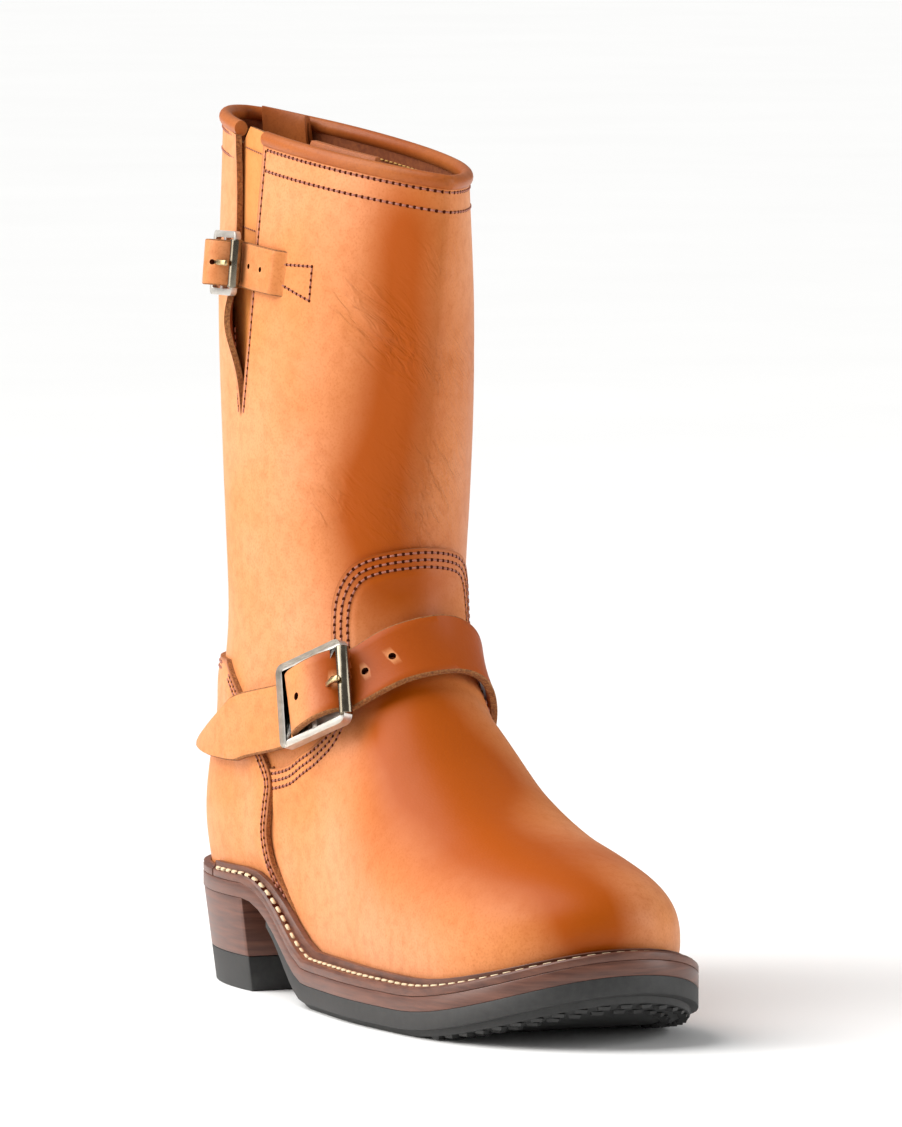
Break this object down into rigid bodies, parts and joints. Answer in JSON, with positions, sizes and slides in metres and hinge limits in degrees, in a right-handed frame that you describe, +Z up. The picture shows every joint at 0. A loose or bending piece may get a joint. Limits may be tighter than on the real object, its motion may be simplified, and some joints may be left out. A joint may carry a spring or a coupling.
{
  "type": "engineer boot",
  "caption": "Right-foot pull-on engineer boot: tall slack leather shaft with a buckled instep strap, a buckled collar strap over a side slit, a welted sole and a stacked heel.",
  "frame": {"origin": "on the floor at the middle of the heel's underside", "axes": "+X towards the toe, +Y towards the wearer's other foot, +Z up the leg; the buckles are on the -Y side"},
  "size_m": [0.3309, 0.1033, 0.3263],
  "materials": {
    "tan_leather": "smooth oiled leather, satin",
    "strap_leather": "smooth oiled leather with raw edges",
    "binding_leather": "rolled edge leather, satin",
    "lining_leather": "flesh side and lining leather, matt",
    "sole_leather": "stained and burnished edge",
    "welt_leather": "stained edge, stitched",
    "black_rubber": "matt moulded rubber",
    "buckle_steel": "antiqued, worn bright on the edges"
  },
  "bodies": {
    "root": {"upper": "tan_leather", "vamp_tongue": "tan_leather", "heel_counter": "tan_leather", "ankle_strap": "strap_leather", "top_strap": "strap_leather", "collar_binding": "binding_leather", "gusset": "lining_leather", "pull_loop_inner": "lining_leather", "pull_loop_outer": "lining_leather", "insole": "lining_leather", "midsole": "sole_leather", "heel_stack": "sole_leather", "heel_rand": "sole_leather", "welt": "welt_leather", "outsole": "black_rubber", "heel_lift": "black_rubber", "ankle_buckle_frame": "buckle_steel", "ankle_buckle_roller": "buckle_steel", "ankle_buckle_prong": "buckle_steel", "top_buckle_frame": "buckle_steel", "top_buckle_roller": "buckle_steel", "top_buckle_prong": "buckle_steel"}
  },
  "joints": []
}
